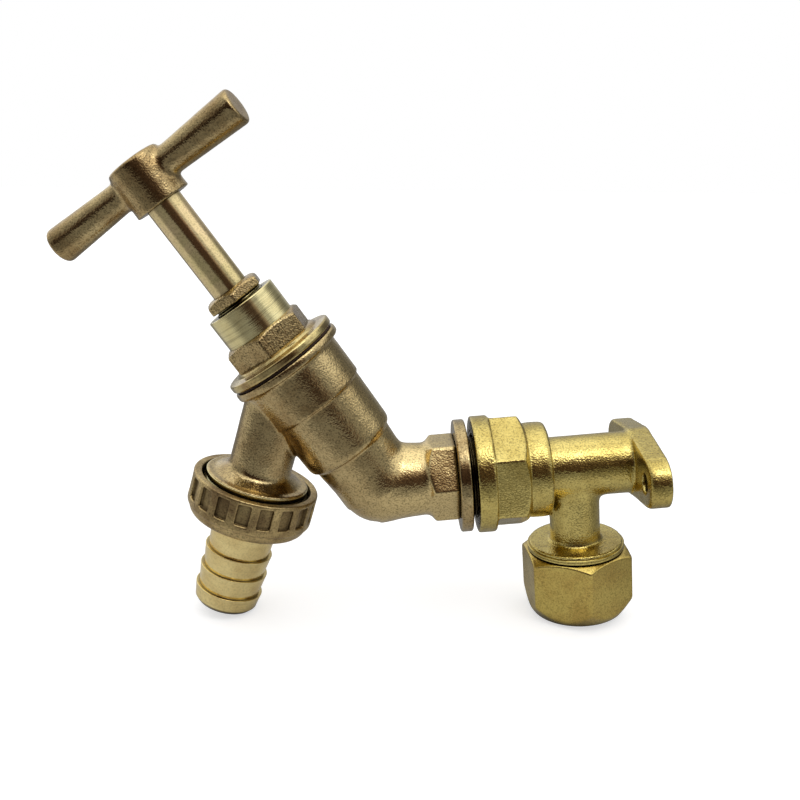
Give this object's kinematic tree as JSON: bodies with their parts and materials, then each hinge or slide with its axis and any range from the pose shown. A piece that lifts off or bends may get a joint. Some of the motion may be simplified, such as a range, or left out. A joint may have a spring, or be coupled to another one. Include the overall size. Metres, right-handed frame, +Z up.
{
  "type": "garden tap with wall plate elbow",
  "caption": "Garden tap with a slanted bonnet, tee handle and ribbed hose union, screwed into a wall plate elbow that ends in a compression joint for a copper pipe.",
  "frame": {"origin": "centre of the wall plate's back face, between its two screw holes", "axes": "+X runs into the wall, square to the plate's back face. +Z is up. The water way, the spindle and the outlet lie in the plane Y = 0, and the pipe comes from below."},
  "size_m": [0.1351, 0.041, 0.1299],
  "materials": {
    "elbow_brass": "as cast, fine grain, slightly greenish yellow",
    "compression_nut_brass": "forged flats with turned, shiny chamfers",
    "tap_brass": "sand cast grain, brownish",
    "bonnet_brass": "turned, fine tool lines",
    "stem_brass": "drawn and polished",
    "union_nut_brass": "pressed, dull brown",
    "hose_tail_brass": "turned satin",
    "turned_brass": "turned",
    "pressed_fibre": "pressed fibre, matt",
    "gland_packing": "greased plaited packing",
    "washer_rubber": "moulded rubber, matt"
  },
  "bodies": {
    "tap": {"tap_body": "tap_brass", "bonnet": "bonnet_brass", "bonnet_washer": "pressed_fibre", "gland_nut": "bonnet_brass", "gland_washer": "turned_brass", "gland_packing": "gland_packing", "wall_plate_elbow": "elbow_brass"},
    "jumper": {"jumper_valve": "turned_brass", "tap_washer": "washer_rubber", "washer_nut": "turned_brass"},
    "handle": {"spindle": "stem_brass", "tee_handle": "tap_brass", "handle_screw": "turned_brass"},
    "hose_end": {"hose_tail": "hose_tail_brass", "union_washer": "washer_rubber"},
    "union": {"union_nut": "union_nut_brass"},
    "pipe_ring": {"olive": "turned_brass"},
    "pipe_nut": {"compression_nut": "compression_nut_brass"}
  },
  "joints": [
    {"name": "jumper_lift", "type": "slide", "parent": "tap", "child": "jumper", "axis": [-0.5135, 0, 0.8581], "range_m": [0, 0.00601]},
    {"name": "handle_turn", "type": "hinge", "parent": "jumper", "child": "handle", "pos_m": [-0.06505, 0, 0], "axis": [-0.5135, 0, 0.8581], "range_deg": [0, 900]},
    {"name": "tail_drop", "type": "slide", "parent": "tap", "child": "hose_end", "axis": [-0.3502, 0, -0.9367], "range_m": [0, 0.00454]},
    {"name": "union_nut_turn", "type": "hinge", "parent": "hose_end", "child": "union", "pos_m": [-0.08374, 0, 0.03123], "axis": [-0.3502, 0, -0.9367], "range_deg": [0, 900]},
    {"name": "olive_drop", "type": "slide", "parent": "tap", "child": "pipe_ring", "axis": [0, 0, -1], "range_m": [0, 0.00454]},
    {"name": "compression_nut_turn", "type": "hinge", "parent": "pipe_ring", "child": "pipe_nut", "pos_m": [-0.01815, 0, 0], "axis": [0, 0, -1], "range_deg": [0, 900]}
  ],
  "couplings": [
    {"joint": "jumper_lift", "follows": "handle_turn", "m_per_rad": 0.00038197},
    {"joint": "tail_drop", "follows": "union_nut_turn", "m_per_rad": 0.00028871},
    {"joint": "olive_drop", "follows": "compression_nut_turn", "m_per_rad": 0.00028871}
  ]
}
